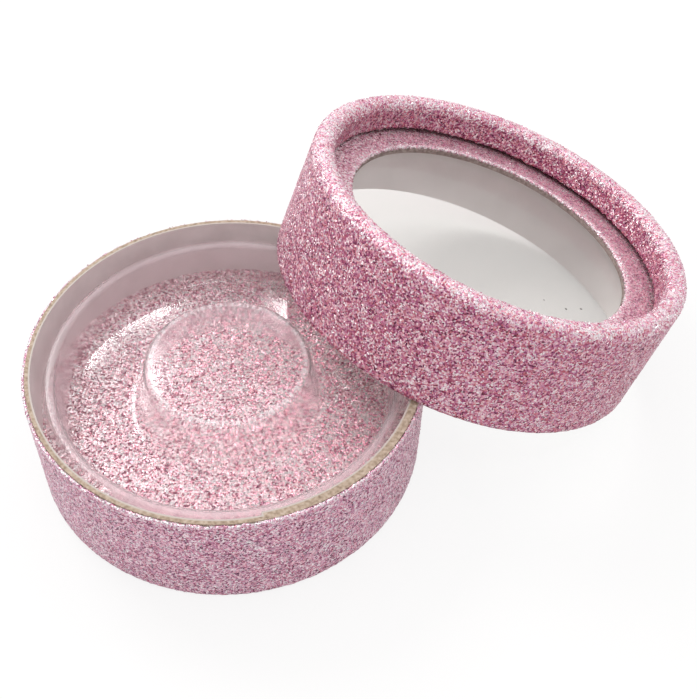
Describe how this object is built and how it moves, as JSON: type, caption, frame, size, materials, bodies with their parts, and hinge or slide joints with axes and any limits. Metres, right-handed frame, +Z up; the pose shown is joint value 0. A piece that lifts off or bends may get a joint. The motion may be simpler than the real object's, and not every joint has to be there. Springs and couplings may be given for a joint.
{
  "type": "false eyelash case",
  "caption": "Round glitter-paper can for false eyelashes, with a clear formed lash tray in the base and a lift-off window lid that leans against it.",
  "frame": {"origin": "on the table, under the middle of the box round the whole set", "axes": "+Z up along the base's axis; +X from the base's middle towards the leaning lid"},
  "size_m": [0.1116, 0.0654, 0.0418],
  "materials": {
    "lid_glitter_paper": "coarse bright pink glitter, sparkling",
    "base_glitter_paper": "coarse lilac pink glitter, sparkling",
    "floor_glitter_paper": "coarse pale pink glitter, sparkling",
    "white_paper": "smooth white paper, matt",
    "raw_board": "raw grey brown board, fibrous",
    "clear_tray_sheet": "clear formed plastic sheet, glossy",
    "clear_window_film": "clear flat plastic film, glossy"
  },
  "bodies": {
    "base": {"base_tube": "raw_board", "base_wrap": "base_glitter_paper", "base_bottom_paper": "white_paper", "base_disc": "raw_board", "base_floor_paper": "floor_glitter_paper", "base_liner": "white_paper"},
    "tray": {"lash_tray": "clear_tray_sheet"},
    "lid": {"lid_tube": "raw_board", "lid_wrap": "lid_glitter_paper", "lid_liner": "white_paper", "lid_window": "clear_window_film", "lid_ring": "raw_board", "lid_ring_paper": "lid_glitter_paper"}
  },
  "joints": [
    {"name": "lid_lift", "type": "slide", "parent": "base", "child": "lid", "axis": [0.3535, 0, 0.9354], "range_m": [0, 0.06]},
    {"name": "tray_lift", "type": "slide", "parent": "base", "child": "tray", "axis": [0, 0, 1], "range_m": [0, 0.0028]}
  ]
}
